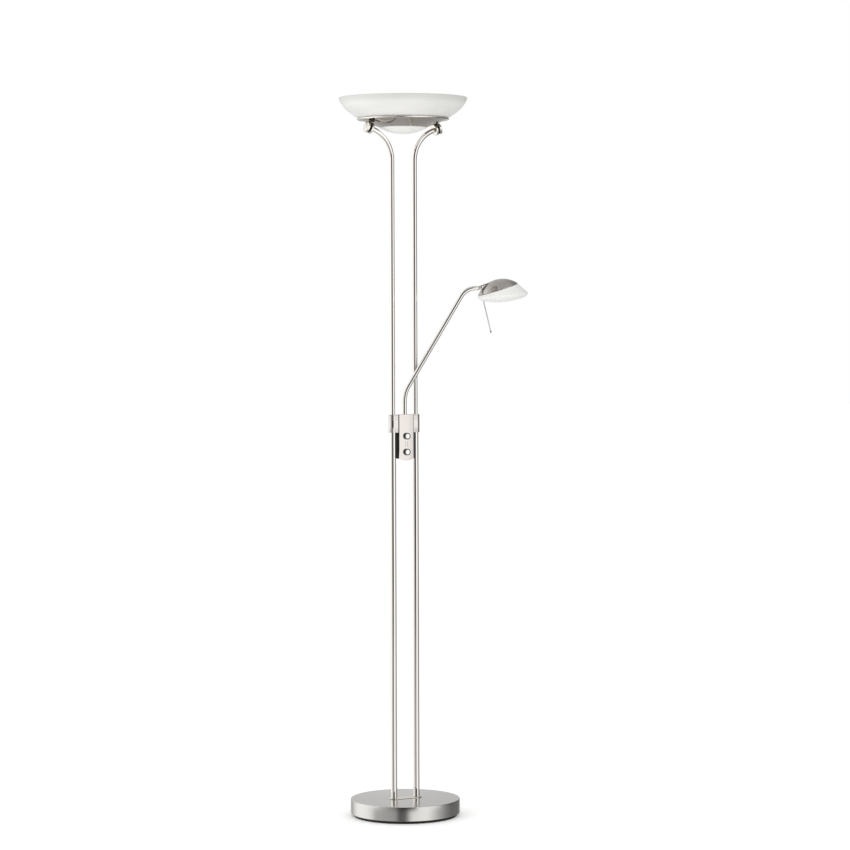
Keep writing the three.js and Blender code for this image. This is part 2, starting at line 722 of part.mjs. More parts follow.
/** The head's glass as a full body, from its mouth to its bottom, with each face moved in by the inset. */
function shadeSolid(inset) {
  const around = 28;
  const lean = THREE.MathUtils.degToRad(SHADE_LEAN);
  const wide = SHADE_R - inset;
  const depth = SHADE_DEPTH - inset;
  const mouthZ = inset ? 5 : -2;
  const rings = [{ r: CAP_R - inset, centre: v3(0, 0, mouthZ), lean: 0 }];
  if (inset) rings.push({ r: CAP_R - inset, centre: v3(0, 0, -2), lean: 0 });
  for (const angle of [0, 12, 26, 42, 60, 78]) {
    const a = THREE.MathUtils.degToRad(angle);
    const down = depth * Math.sin(a);
    const centre = v3(
      SHADE_CENTRE[0] - down * Math.sin(lean),
      0,
      SHADE_CENTRE[1] - down * Math.cos(lean),
    );
    rings.push({ r: wide * Math.cos(a), centre, lean });
  }
  const bottom = v3(SHADE_CENTRE[0] - depth * Math.sin(lean), 0, SHADE_CENTRE[1] - depth * Math.cos(lean));
  const at = ({ r, centre, lean: tip }, k) => {
    const a = (2 * Math.PI * k) / around;
    const x = r * Math.cos(a);
    return v3(centre.x + x * Math.cos(tip), r * Math.sin(a), centre.z - x * Math.sin(tip));
  };
  const corners = [];
  for (let k = 0; k < around; k++) {
    corners.push(at(rings[0], k), at(rings[0], k + 1), rings[0].centre);
    for (let i = 0; i + 1 < rings.length; i++) {
      const [a, b, c, d] = [at(rings[i], k), at(rings[i], k + 1), at(rings[i + 1], k), at(rings[i + 1], k + 1)];
      corners.push(a, c, b, b, c, d);
    }
    corners.push(at(rings.at(-1), k), bottom, at(rings.at(-1), k + 1));
  }
  return solid(new THREE.BufferGeometry().setFromPoints(corners));
}

function makeHead() {
  const sheet = 1.2;
  const cap = turned([
    ...domeArc(CAP_SPHERE, CAP_R, 6),
    [CAP_R, -1.4],
    [CAP_R - 1.6, -1.4],
    ...domeArc(CAP_SPHERE - sheet, CAP_R - 1.6, 6).reverse(),
  ], 32);
  piece(head, 'head_cap', 'satin_nickel', cap);

  // The bracket's clevis straddles the arm's tongue and its back follows the dome.
  const [pivotX, pivotZ] = inHead(PIVOT);
  const clearOfCap = turned([[0, -30], ...domeArc(CAP_SPHERE + GAP, 60, 8).reverse()], 36);
  const wedge = new THREE.Shape();
  wedge.moveTo(pivotX, pivotZ + 5.2);
  wedge.absarc(pivotX, pivotZ, 5.2, Math.PI / 2, 1.55 * Math.PI);
  wedge.lineTo(-19, 12);
  wedge.lineTo(-17, 22.4);
  const slot = join(
    moved(placed(disc(4.6, -2.8, 2.8, 24), TO_Y), pivotX, 0, pivotZ),
    block(pivotX - 12, pivotX + 0.5, -2.8, 2.8, pivotZ - 12, pivotZ + 12),
    block(pivotX - 1, pivotX + 4.3, -2.8, 2.8, pivotZ, pivotZ + 12),
  );
  const pinHole = moved(placed(disc(2.2, -8, 8, 20), TO_Y), pivotX, 0, pivotZ);
  piece(head, 'head_bracket', 'satin_nickel', cut(runAlongY(wedge, -5.4, 5.4), clearOfCap, slot, pinHole));
  const pin = turned([
    [0, -7],
    [3, -7],
    [3, -5.7],
    [1.9, -5.7],
    [1.9, 5.7],
    [3, 5.7],
    [3, 7],
    [0, 7],
  ], 20);
  piece(head, 'head_pivot_pin', 'chrome', moved(placed(pin, TO_Y), pivotX, 0, pivotZ));

  // The rod leans a little from the cap's normal and leaves through a hole in the glass.
  const rodTop = v3(ROD.top[0], 0, ROD.top[1]);
  const rodBottom = v3(ROD.bottom[0], 0, ROD.bottom[1]);
  const rodLean = new THREE.Matrix4().makeRotationFromQuaternion(
    new THREE.Quaternion().setFromUnitVectors(v3(0, 0, -1), rodBottom.clone().sub(rodTop).normalize()),
  );
  const onRod = (body) => placed(body, rodLean.clone().setPosition(rodTop));
  const rodLength = rodTop.distanceTo(rodBottom);

  const shade = cut(shadeSolid(0), shadeSolid(SHADE_WALL), onRod(disc(ROD.r + 3 * GAP, -60, 0, 16)));
  piece(head, 'head_glass', 'white_glass', shade);

  piece(head, 'head_reflector', 'aluminium', disc(44.5, 3, 4.2, 40));
  const base = block(-38, -24, -9, 9, -8, 2.7);
  const socket = moved(placed(disc(5.2, -4, 8, 20), TO_X), -26, 0, -3.4);
  piece(head, 'head_lampholder', 'ceramic', cut(base, socket));
  const capsule = turned([
    [0, 0],
    [4.8, 0],
    [4.8, 9],
    [5.8, 11],
    [5.8, 33],
    [4.6, 38],
    [2, 40.5],
    [0, 41],
  ], 20);
  piece(head, 'head_lamp', 'clear_glass', moved(placed(capsule, TO_X), -29.4, 0, -3.4));

  for (const k of [1, 2, 3]) {
    const clip = runAlongY(polygon([
      [41, 2.7],
      [41, 1.7],
      [45.6, 1.7],
      [45.6, -4],
      [46.6, -4],
      [46.6, 2.7],
    ].map(([x, z]) => [x - 0.6, z])), -3.5, 3.5);
    const turn = new THREE.Matrix4().makeRotationZ((k - 1) * 2 * Math.PI / 3);
    piece(head, `glass_clip_${k}`, 'zinc_steel', placed(clip, turn));
  }

  const rodEnd = ROD.tipLength - rodLength;
  piece(head, 'handle_rod', 'chrome', onRod(disc(ROD.r, rodEnd, 0, 14)));
  const tip = turned([
    [0, -rodLength - 1],
    [ROD.tipR - 0.7, -rodLength - 1],
    [ROD.tipR, -rodLength],
    [ROD.tipR, rodEnd - GAP],
    [0, rodEnd - GAP],
  ], 16);
  piece(head, 'handle_tip', 'satin_nickel', onRod(tip));
}

makeBase();
makePoles();
makeClamps();
makeBowl();
makeUplight();
makeBox();
makeArm();
makeHead();

export default lamp;
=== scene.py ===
"""Looks of a twin-pole torchiere floor lamp with a reading arm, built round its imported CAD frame."""

import json
import math

import bmesh
import bpy
from mathutils import Matrix, Vector


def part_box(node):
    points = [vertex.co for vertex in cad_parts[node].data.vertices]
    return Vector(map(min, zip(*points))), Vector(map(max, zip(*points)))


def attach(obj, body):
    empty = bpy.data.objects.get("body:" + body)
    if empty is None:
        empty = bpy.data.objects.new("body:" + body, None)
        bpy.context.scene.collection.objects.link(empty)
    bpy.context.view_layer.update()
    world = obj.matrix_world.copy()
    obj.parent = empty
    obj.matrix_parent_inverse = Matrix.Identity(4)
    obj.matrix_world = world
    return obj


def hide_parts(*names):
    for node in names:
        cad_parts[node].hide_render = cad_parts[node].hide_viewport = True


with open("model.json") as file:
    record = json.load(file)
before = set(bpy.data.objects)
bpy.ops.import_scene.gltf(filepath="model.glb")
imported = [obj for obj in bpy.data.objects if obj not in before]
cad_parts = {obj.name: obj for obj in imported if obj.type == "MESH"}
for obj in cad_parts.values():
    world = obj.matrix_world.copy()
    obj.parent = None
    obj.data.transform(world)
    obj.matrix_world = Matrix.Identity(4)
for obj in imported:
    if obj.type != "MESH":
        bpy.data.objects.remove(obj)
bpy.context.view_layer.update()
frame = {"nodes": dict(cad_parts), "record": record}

# ---------------------------------------------------------------- sizes, in metres

MM = 0.001
GAP = 0.3 * MM
SIDES = (("left", -1), ("right", 1))
LONGEST_REACH = 0.45  # of an edge, for a rounded corner

top_of = lambda node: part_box(node)[1].z
bottom_of = lambda node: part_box(node)[0].z


def middle(node):
    """The middle of a node's box."""
    low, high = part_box(node)
    return (low + high) / 2


def span(node):
    """The size of a node's box."""
    low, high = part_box(node)
    return high - low


POLE_X = middle("pole_lower_right").x
LOWER_R = span("pole_lower_right").y / 2
UPPER_R = span("pole_upper_right").y / 2
BASE_R = span("base_cover").x / 2
BOWL_R = span("bowl_glass").x / 2
HEIGHT = top_of("bowl_glass")
BEND_R = 81 * MM
BEND_TURN = math.radians(72)
BEND_Z = 1655.2 * MM
BAND_R = span("box_band").y / 2
CLAMP_R = span("clamp_nut_right").y / 2
CLAMP_BORE = 3.3 * MM
# Ends of the clamps' layers, along the clamp's axis.
COLLAR = (0.6 * MM, 6 * MM)
WASHER = (6.3 * MM, 9 * MM)
LUG = (9.3 * MM, 11.3 * MM)
NUT = (11.6 * MM, 17.4 * MM)
ARM_Y = middle("arm_bush").y
ARM_AZIMUTH = math.radians(-17)
ARM_R = 5.5 * MM
ARM_CORNERS = ((0, 1070.4 * MM), (158.9 * MM, 1334 * MM))
ARM_END = (191.6 * MM, 1334 * MM)
ARM_BENDS = (76 * MM, 44 * MM)
HEAD_CENTRE = (241 * MM, 1332 * MM)
HEAD_TILT = math.radians(17.5)
CAP_R = 52 * MM
CAP_RISE = 24 * MM
CAP_SPHERE = (CAP_R**2 + CAP_RISE**2) / (2 * CAP_RISE)
SHADE_R = 64.5 * MM
SHADE_CENTRE = (7.8 * MM, -18.75 * MM)
SHADE_LEAN = math.radians(12.6)
SHADE_DEPTH = 17.6 * MM
SHADE_WALL = 3.6 * MM
RING_INNER_R = 60 * MM
RING_OUTER_R = 112 * MM
RING_INNER_Z = 1737.8 * MM
RING_SLOPE = 0.38
RING_SHEET = 1.28 * MM

# ---------------------------------------------------------------- frames

ARM_FRAME = Matrix.Translation((0, ARM_Y, 0)) @ Matrix.Rotation(ARM_AZIMUTH, 4, "Z")
HEAD_FRAME = (
    ARM_FRAME
    @ Matrix.Translation((HEAD_CENTRE[0], 0, HEAD_CENTRE[1]))
    @ Matrix.Rotation(-HEAD_TILT, 4, "Y")
)
TO_Y = Matrix.Rotation(-math.pi / 2, 4, "X")  # Z to +Y
TO_X = Matrix.Rotation(math.pi / 2, 4, "Y")  # Z to +X


def pole_end(side):
    """The frame of one clamp: its origin at the end of the pole's bend, Z outwards along the clamp's axis."""
    x = POLE_X + BEND_R * (1 - math.cos(BEND_TURN))
    z = BEND_Z + BEND_R * math.sin(BEND_TURN)
    return Matrix.Translation((side * x, 0, z)) @ Matrix.Rotation(side * BEND_TURN, 4, "Y")


# ---------------------------------------------------------------- meshes


def finish_piece(name, mesh, material, node, sharp):
    """Makes a piece of a mesh that stands for a CAD node and rides on the node's body."""
    mesh.shade_smooth()
    mesh.set_sharp_from_angle(angle=math.radians(sharp))
    mesh.materials.append(material)
    obj = bpy.data.objects.new(name, mesh)
    bpy.context.scene.collection.objects.link(obj)
    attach(obj, body_of_node[node])
    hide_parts(node)
    return obj


body_of_node = {}
for body_name, members in frame["record"]["behaviour"]["bodies"].items():
    for member in members:
        body_of_node[member] = body_name


def rounded(points, radius, steps=4):
    """A polyline with its inner corners rounded. A point may hold its own radius as a third value."""
    result = [Vector(points[0][:2])]
    for before, corner, after in zip(points, points[1:], points[2:]):
        here = Vector(corner[:2])
        wanted = corner[2] if len(corner) > 2 else radius
        back = Vector(before[:2]) - here
        ahead = Vector(after[:2]) - here
        reach = min(wanted, LONGEST_REACH * back.length, LONGEST_REACH * ahead.length)
        if reach < 1e-6:
            result.append(here)
            continue
        start = here + back.normalized() * reach
        end = here + ahead.normalized() * reach
        for k in range(steps + 1):
            t = k / steps
            result.append(start * (1 - t) ** 2 + here * (2 * t * (1 - t)) + end * t**2)
    result.append(Vector(points[-1][:2]))
    return result


def rounded_loop(points, radius, steps=4):
    """A closed outline with every corner rounded."""
    around = [points[-1], *points, points[0]]
    return rounded(around, radius, steps)[1:-1]


def turned(name, profile, material, node, place=None, segments=96, closed=False, sharp=32):
    """A piece turned about Z from its profile of (radius, height)."""
    bm = bmesh.new()
    rows = []
    for r, z in (tuple(p)[:2] for p in profile):
        if r < 1e-7:
            rows.append([bm.verts.new((0, 0, z))])
            continue
        angles = (2 * math.pi * k / segments for k in range(segments))
        rows.append([bm.verts.new((r * math.cos(a), r * math.sin(a), z)) for a in angles])
    pairs = list(zip(rows, rows[1:]))
    if closed:
        pairs.append((rows[-1], rows[0]))
    for low, high in pairs:
        for k in range(segments):
            n = (k + 1) % segments
            corners = [low[k % len(low)], low[n % len(low)], high[n % len(high)], high[k % len(high)]]
            unique = list(dict.fromkeys(corners))
            if len(unique) > 2:
                bm.faces.new(unique)
    return from_bmesh(name, bm, material, node, place, sharp)


def from_bmesh(name, bm, material, node, place=None, sharp=32):
    """Turns a finished bmesh into a piece, with its normals outwards and its place applied."""
    bmesh.ops.recalc_face_normals(bm, faces=bm.faces)
    if place is not None:
        bm.transform(place)
    mesh = bpy.data.meshes.new(name)
    bm.to_mesh(mesh)
    bm.free()
    return finish_piece(name, mesh, material, node, sharp)


def bent_stations(points, radii, step=math.radians(3)):
    """Points and headings along straight runs with a bend of the given radius at each inner point."""
    points = [Vector(p) for p in points]
    heading = (points[1] - points[0]).normalized()
    stations = [(points[0], heading)]
    for i, radius in enumerate(radii):
        corner = points[i + 1]
        ahead = (points[i + 2] - corner).normalized()
        turn = heading.angle(ahead)
        side = (ahead - heading * ahead.dot(heading)).normalized()
        start = corner - heading * radius * math.tan(turn / 2)
        steps = math.ceil(turn / step)
        for k in range(steps + 1):
            a = turn * k / steps
            at = start + heading * radius * math.sin(a) + side * radius * (1 - math.cos(a))
            stations.append((at, heading * math.cos(a) + side * math.sin(a)))
        heading = ahead
    stations.append((points[-1], heading))
    return stations


def tube(name, stations, outer, material, node, place=None, wall=1 * MM, sides=48):
    """A round tube in the XZ plane along its stations, open at both ends, with softened rims."""
    lip = 0.25 * MM
    inner = outer - wall
    first, *between, last = stations
    after_first = (first[0] + first[1] * lip, first[1])
    before_last = (last[0] - last[1] * lip, last[1])
    rows = [(first, outer - lip), (after_first, outer)]
    rows += [(station, outer) for station in between]
    rows += [(before_last, outer), (last, outer - lip), (last, inner)]
    rows += [(station, inner) for station in reversed(between)]
    rows += [(first, inner)]
    bm = bmesh.new()
    across = Vector((0, 1, 0))
    rings = []
    for (at, heading), radius in rows:
        up = across.cross(heading)
        ring = []
        for k in range(sides):
            a = 2 * math.pi * k / sides
            ring.append(bm.verts.new(at + across * radius * math.cos(a) + up * radius * math.sin(a)))
        rings.append(ring)
    for low, high in zip(rings, rings[1:] + rings[:1]):
        for k in range(sides):
            n = (k + 1) % sides
            bm.faces.new((low[k], low[n], high[n], high[k]))
    return from_bmesh(name, bm, material, node, place)


def raised(name, outline, low, high, material, node, place=None, soften=0.4 * MM, holes=()):
    """A flat outline raised along Z with softened edges. Holes are closed outlines inside it."""
    bm = bmesh.new()
    edges = []
    for loop in [outline, *holes]:
        verts = [bm.verts.new((p[0], p[1], low)) for p in loop]
        edges += [bm.edges.new((verts[k], verts[(k + 1) % len(verts)])) for k in range(len(verts))]
    faces = bmesh.ops.triangle_fill(bm, edges=edges, use_beauty=True)["geom"]
    faces = [f for f in faces if isinstance(f, bmesh.types.BMFace)]
    bmesh.ops.recalc_face_normals(bm, faces=bm.faces)
    grown = bmesh.ops.extrude_face_region(bm, geom=faces)["geom"]
    verts = [v for v in grown if isinstance(v, bmesh.types.BMVert)]
    bmesh.ops.translate(bm, verts=verts, vec=(0, 0, high - low))
    bmesh.ops.recalc_face_normals(bm, faces=bm.faces)
    soften_edges(bm, soften)
    return from_bmesh(name, bm, material, node, place)


def soften_edges(bm, width, angle=math.radians(35), segments=3):
    """Bevels every edge that is sharper than the angle."""
    if width <= 0:
        return
    sharp = [e for e in bm.edges if len(e.link_faces) == 2 and e.calc_face_angle(0) > angle]
    bmesh.ops.bevel(
        bm, geom=sharp, offset=width, segments=segments, profile=0.5, affect="EDGES", clamp_overlap=True
    )


def refined(node, material, soften=0.3 * MM, sharp=30):
    """A CAD node's own shape with its flat faces merged and its edges softened."""
    bm = bmesh.new()
    bm.from_mesh(frame["nodes"][node].data)
    bmesh.ops.remove_doubles(bm, verts=bm.verts, dist=1e-6)
    bmesh.ops.dissolve_limit(bm, angle_limit=math.radians(1), verts=bm.verts, edges=bm.edges)
    soften_edges(bm, soften, math.radians(40), 2)
    return from_bmesh(node + "_shape", bm, material, node, None, sharp)


def arc(centre, radius, start, end, steps):
    """Points on an arc, its angles in degrees."""
    points = []
    for k in range(steps + 1):
        a = math.radians(start + (end - start) * k / steps)
        points.append((centre[0] + radius * math.cos(a), centre[1] + radius * math.sin(a)))
    return points


def stadium(radius, steps=32):
    """An outline round both poles."""
    return arc((POLE_X, 0), radius, -90, 90, steps) + arc((-POLE_X, 0), radius, 90, 270, steps)


def circle(x, y, radius, steps=32):
    """A closed outline round a point."""
    return arc((x, y), radius, 0, 360 - 360 / steps, steps - 1)


# ---------------------------------------------------------------- materials


class Nodes:
    """A small helper for a material's nodes."""

    def __init__(self, name):
        self.material = bpy.data.materials.new(name)
        self.material.use_nodes = True
        self.tree = self.material.node_tree
        self.shader = self.tree.nodes["Principled BSDF"]

    def add(self, kind, **settings):
        node = self.tree.nodes.new(kind)
        for key, value in settings.items():
            setattr(node, key, value)
        return node

    def link(self, source, target):
        self.tree.links.new(source, target)

    def set(self, **values):
        for key, value in values.items():
            self.shader.inputs[key.replace("_", " ")].default_value = value

    def noise(self, scale, stretch=(1, 1, 1), detail=4, roughness=0.55):
        """Noise over the object, in metres, squeezed or stretched along each axis."""
        place = self.add("ShaderNodeTexCoord")
        mapping = self.add("ShaderNodeMapping")
        mapping.inputs["Scale"].default_value = stretch
        noise = self.add("ShaderNodeTexNoise")
        noise.inputs["Scale"].default_value = scale
        noise.inputs["Detail"].default_value = detail
        noise.inputs["Roughness"].default_value = roughness
        self.link(place.outputs["Object"], mapping.inputs["Vector"])
        self.link(mapping.outputs["Vector"], noise.inputs["Vector"])
        return noise.outputs["Fac"]

    def spread(self, value, low, high, start=0.3, end=0.7):
        node = self.add("ShaderNodeMapRange")
        self.link(value, node.inputs["Value"])
        for key, setting in (("From Min", start), ("From Max", end), ("To Min", low), ("To Max", high)):
            node.inputs[key].default_value = setting
        return node.outputs["Result"]

    def mix(self, factor, a, b):
        node = self.add("ShaderNodeMix", data_type="RGBA")
        self.link(factor, node.inputs[0])
        for socket, value in ((node.inputs[6], a), (node.inputs[7], b)):
            if isinstance(value, bpy.types.NodeSocket):
                self.link(value, socket)
            else:
                socket.default_value = (*value, 1)
        return node.outputs[2]

    def bump(self, height, strength, distance):
        node = self.add("ShaderNodeBump")
        node.inputs["Strength"].default_value = strength
        node.inputs["Distance"].default_value = distance
        self.link(height, node.inputs["Height"])
        self.link(node.outputs["Normal"], self.shader.inputs["Normal"])


def metal(name, colour, roughness, spread=0.05, stretch=(1, 1, 1), grain=900, bump=0.05, tarnish=0.06):
    """Plated metal with a fine grain, patchy gloss and a slight change of tone."""
    n = Nodes(name)
    n.set(Metallic=1.0)
    fine = n.noise(grain, stretch, detail=3, roughness=0.6)
    patches = n.noise(14, detail=3)
    darker = tuple(c * (1 - tarnish) for c in colour)
    n.link(n.mix(patches, darker, colour), n.shader.inputs["Base Color"])
    n.link(n.spread(fine, roughness - spread, roughness + spread), n.shader.inputs["Roughness"])
    n.bump(fine, bump, 0.02 * MM)
    return n


def brushed_turned(name, colour, roughness):
    """Metal brushed in circles about the upright axis, as a turned disc is."""
    n = metal(name, colour, roughness, grain=1400, bump=0.04)
    n.set(Anisotropic=0.55)
    tangent = n.add("ShaderNodeTangent", direction_type="RADIAL", axis="Z")
    n.link(tangent.outputs["Tangent"], n.shader.inputs["Tangent"])
    return n


def make_materials():
    made = {}
    made["tube"] = metal("satin_nickel_tube", (0.86, 0.83, 0.79), 0.06, spread=0.015, grain=2400, bump=0.01)
    made["base"] = brushed_turned("satin_nickel_base", (0.64, 0.625, 0.60), 0.16)
    made["plate"] = metal("satin_nickel_plate", (0.71, 0.665, 0.635), 0.12, spread=0.04,
                          stretch=(0.08, 1, 1), grain=1500, bump=0.03)
    # The cap's nickel is darker than the rest of the lamp's: painted shade, for the dark reflection of the
    # room overhead in the cap's dome.
    made["cap"] = metal("satin_nickel_painted_shade", (0.50, 0.475, 0.44), 0.2, grain=1200)
    made["ring"] = metal("polished_nickel", (0.39, 0.355, 0.32), 0.09, spread=0.03, grain=700, bump=0.02,
                         tarnish=0.1)
    made["clamp"] = metal("turned_nickel", (0.82, 0.79, 0.73), 0.09, spread=0.03, grain=1300, bump=0.04)
    made["chrome"] = metal("chrome", (0.80, 0.80, 0.80), 0.08, spread=0.02, grain=600, bump=0.01,
                           tarnish=0.03)
    # Near-black chrome, for the plate's upright ribs and the knobs' fluted grips; on the grips it is painted
    # shade and painted reflection round each knob's rim.
    made["grip"] = metal("black_chrome_and_painted_knob_shade", (0.10, 0.095, 0.09), 0.25)
    made["steel"] = metal("zinc_steel", (0.55, 0.56, 0.57), 0.38, spread=0.08, grain=500, bump=0.12,
                          tarnish=0.15)
    made["brass"] = metal("turned_brass", (0.72, 0.55, 0.28), 0.3)
    made["aluminium"] = metal("bright_aluminium", (0.88, 0.89, 0.90), 0.2, stretch=(0.1, 1, 1))

    iron = metal("cast_iron", (0.13, 0.13, 0.135), 0.72, spread=0.12, grain=320, bump=0.6, tarnish=0.3)
    iron.set(Metallic=0.5)
    made["iron"] = iron

    plastic = Nodes("black_plastic")
    grain = plastic.noise(1800, detail=2)
    plastic.link(plastic.mix(plastic.noise(30), (0.006, 0.006, 0.0065), (0.012, 0.012, 0.0125)),
                 plastic.shader.inputs["Base Color"])
    plastic.link(plastic.spread(grain, 0.42, 0.6), plastic.shader.inputs["Roughness"])
    plastic.bump(grain, 0.25, 0.05 * MM)
    plastic.set(Specular_IOR_Level=0.05)
    made["plastic"] = plastic

    rubber = Nodes("black_rubber")
    speckle = rubber.noise(1200, detail=5)
    rubber.link(rubber.mix(speckle, (0.008, 0.008, 0.008), (0.02, 0.02, 0.02)),
                rubber.shader.inputs["Base Color"])
    rubber.link(rubber.spread(speckle, 0.7, 0.9), rubber.shader.inputs["Roughness"])
    rubber.bump(speckle, 0.4, 0.1 * MM)
    made["rubber"] = rubber

    ceramic = Nodes("steatite")
    chalk = ceramic.noise(700, detail=5)
    ceramic.link(ceramic.mix(chalk, (0.76, 0.72, 0.64), (0.86, 0.83, 0.76)),
                 ceramic.shader.inputs["Base Color"])
    ceramic.link(ceramic.spread(chalk, 0.5, 0.7), ceramic.shader.inputs["Roughness"])
    ceramic.bump(chalk, 0.3, 0.1 * MM)
    made["ceramic"] = ceramic

    made["bowl"] = opal_glass("opal_glass_bowl", 0.86, edge=(HEIGHT - 20 * MM, HEIGHT - 8 * MM))
    made["opal"] = opal_glass("opal_glass", 0.95)

    clear = Nodes("clear_glass")
    clear.set(Base_Color=(0.96, 0.985, 0.98, 1), IOR=1.47, Transmission_Weight=1.0)
    smear = clear.noise(60)
    clear.link(clear.spread(smear, 0.01, 0.05), clear.shader.inputs["Roughness"])
    made["clear"] = clear
    return {key: n.material for key, n in made.items()}


def opal_glass(name, whiteness, edge=None):
    """Satin opal glass: white with faint clouds, and a greyer band near the rim where it thins."""

    def tone(*colour):
        return tuple(whiteness * c for c in colour)

    n = Nodes(name)
    n.set(IOR=1.5, Coat_Weight=0.1, Coat_Roughness=0.2)
    clouds = n.noise(11, (1, 1, 2.2), detail=3, roughness=0.5)
    colour = n.mix(n.spread(clouds, 0, 1), tone(0.83, 0.825, 0.80), tone(0.90, 0.895, 0.875))
    if edge:
        place = n.add("ShaderNodeTexCoord")
        split = n.add("ShaderNodeSeparateXYZ")
        n.link(place.outputs["Object"], split.inputs["Vector"])
        band = n.spread(split.outputs["Z"], 0, 1, *edge)
        colour = n.mix(band, colour, tone(0.72, 0.73, 0.69))
    n.link(colour, n.shader.inputs["Base Color"])
    frost = n.noise(900, detail=3)
    n.link(n.spread(frost, 0.3, 0.42), n.shader.inputs["Roughness"])
    n.bump(frost, 0.06, 0.05 * MM)
    return n


MATERIAL = make_materials()

# ---------------------------------------------------------------- base


def make_base():
    edge, top = bottom_of("base_cover"), top_of("base_cover")
    sheet = 1.5 * MM
    turned("base_shell", rounded([
        (0, top),
        (BASE_R, top, 1.8 * MM),
        (BASE_R, edge, 0.5 * MM),
        (BASE_R - sheet, edge, 0.4 * MM),
        (BASE_R - sheet, top - sheet, 1 * MM),
        (0, top - sheet),
    ], 0.4 * MM, 6), MATERIAL["base"], "base_cover", segments=256)
    pad_r = span("base_pad").x / 2
    turned("base_underside_pad", rounded([
        (0, 0),
        (pad_r, 0),
        (pad_r, top_of("base_pad")),
        (0, top_of("base_pad")),
    ], 1 * MM), MATERIAL["rubber"], "base_pad", segments=160)
    bore = circle(-POLE_X, 0, 5.3 * MM), circle(POLE_X, 0, 5.3 * MM)
    raised("foot_plate", stadium(span("pole_foot_plate").y / 2), bottom_of("pole_foot_plate"),
           top_of("pole_foot_plate"), MATERIAL["clamp"], "pole_foot_plate", holes=bore, soften=0.9 * MM)
    low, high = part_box("cord_gland")
    at = Matrix.Translation((0, 0, middle("cord_gland").z)) @ TO_Y
    turned("cord_inlet", rounded_loop([
        (3.4 * MM, low.y),
        (5.2 * MM, low.y),
        (5.2 * MM, BASE_R + 0.4 * MM, 0),
        (8 * MM, BASE_R + 0.4 * MM, 0.4 * MM),
        (7.4 * MM, BASE_R + 2.4 * MM, 1 * MM),
        (5 * MM, high.y, 0.6 * MM),
        (3.4 * MM, high.y, 0.6 * MM),
    ], 0.3 * MM), MATERIAL["rubber"], "cord_gland", at, 48, closed=True)


# ---------------------------------------------------------------- poles


def make_poles():
    for side, s in SIDES:
        node = "pole_lower_" + side
        path = [((s * POLE_X, 0, z)) for z in (bottom_of(node), top_of(node))]
        tube("lower_tube_" + side, straight(path), LOWER_R, MATERIAL["tube"], node)
        node = "pole_upper_" + side
        end = pole_end(s)
        corner = (s * POLE_X, 0, BEND_Z + BEND_R * math.tan(BEND_TURN / 2))
        finish = end @ Vector((0, 0, 0.2 * MM))
        path = bent_stations([(s * POLE_X, 0, bottom_of(node)), corner, finish], [BEND_R])
        tube("upper_tube_" + side, path, UPPER_R, MATERIAL["tube"], node)


def straight(ends):
    """Stations of a straight run, with one in the middle."""
    a, b = (Vector(p) for p in ends)
    heading = (b - a).normalized()
    return [(a, heading), ((a + b) / 2, heading), (b, heading)]


def make_clamps():
    bore = CLAMP_BORE
    spigot = UPPER_R - 1.6 * MM
    shaded_gap_washer_r = 13 * MM
    chamfer = 0.9 * MM
    for side, s in SIDES:
        place = pole_end(s)
        turned("collar_" + side, rounded_loop([
            (bore, -4 * MM),
            (spigot, -4 * MM),
            (spigot, COLLAR[0], 0),
            (CLAMP_R, COLLAR[0], chamfer),
            (CLAMP_R, COLLAR[1], chamfer),
            (bore, COLLAR[1]),
        ], 0.3 * MM), MATERIAL["clamp"], "clamp_collar_" + side, place, 72, closed=True)
        # Black rubber washers, widened to fill the gap between collar and nut: partly a real washer, partly
        # painted shade of that shadowed gap.
        turned("washer_" + side, rounded_loop([
            (bore, WASHER[0]),
            (shaded_gap_washer_r, WASHER[0]),
            (shaded_gap_washer_r, WASHER[1]),
            (bore, WASHER[1]),
        ], 0.4 * MM), MATERIAL["rubber"], "clamp_washer_" + side, place, 64, closed=True)
        turned("nut_" + side, rounded([
            (0, 17 * MM),
            (bore, 17 * MM),
            (bore, NUT[0]),
            (CLAMP_R, NUT[0], chamfer),
            (CLAMP_R, NUT[1], chamfer),
            (7 * MM, NUT[1]),
            (5.8 * MM, 19 * MM, 0.8 * MM),
            (0, 19 * MM),
        ], 0.2 * MM), MATERIAL["clamp"], "clamp_nut_" + side, place, 72)


# ---------------------------------------------------------------- bowl


def ring_top(r):
    """Height of the upper face of the ring's cone at a radius."""
    return RING_INNER_Z + RING_SHEET + RING_SLOPE * (r - RING_INNER_R)


def bezier(a, b, c, d, t):
    """A point of a cubic Bezier curve."""
    points = [Vector(p) for p in (a, b, c, d)]
    weights = ((1 - t) ** 3, 3 * t * (1 - t) ** 2, 3 * t**2 * (1 - t), t**3)
    return sum((p * w for p, w in zip(points, weights)), Vector((0, 0)))


def make_bowl():
    controls = (
        (100 * MM, HEIGHT - 57.3 * MM),
        (128 * MM, HEIGHT - 45 * MM),
        (156 * MM, HEIGHT - 26 * MM),
        (BOWL_R, HEIGHT),
    )
    wall = 4.5 * MM
    steps = 28
    outside, inside = [], []
    for k in range(steps + 1):
        at = bezier(*controls, k / steps)
        ahead = bezier(*controls, min(k / steps + 0.01, 1))
        behind = bezier(*controls, max(k / steps - 0.01, 0))
        heading = (ahead - behind).normalized()
        outside.append(at)
        inside.append(at + Vector((-heading.y, heading.x)) * wall)
    rim = HEIGHT - wall / 2
    outside = [p for p in outside if p.y < rim]
    inside = [p for p in inside if p.y < rim]
    lip = arc((BOWL_R - wall / 2, rim), wall / 2, 0, 180, 8)
    turned("bowl", [*outside, *lip, *reversed(inside)], MATERIAL["bowl"], "bowl_glass", segments=192,
           closed=True, sharp=60)
    make_bowl_ring()


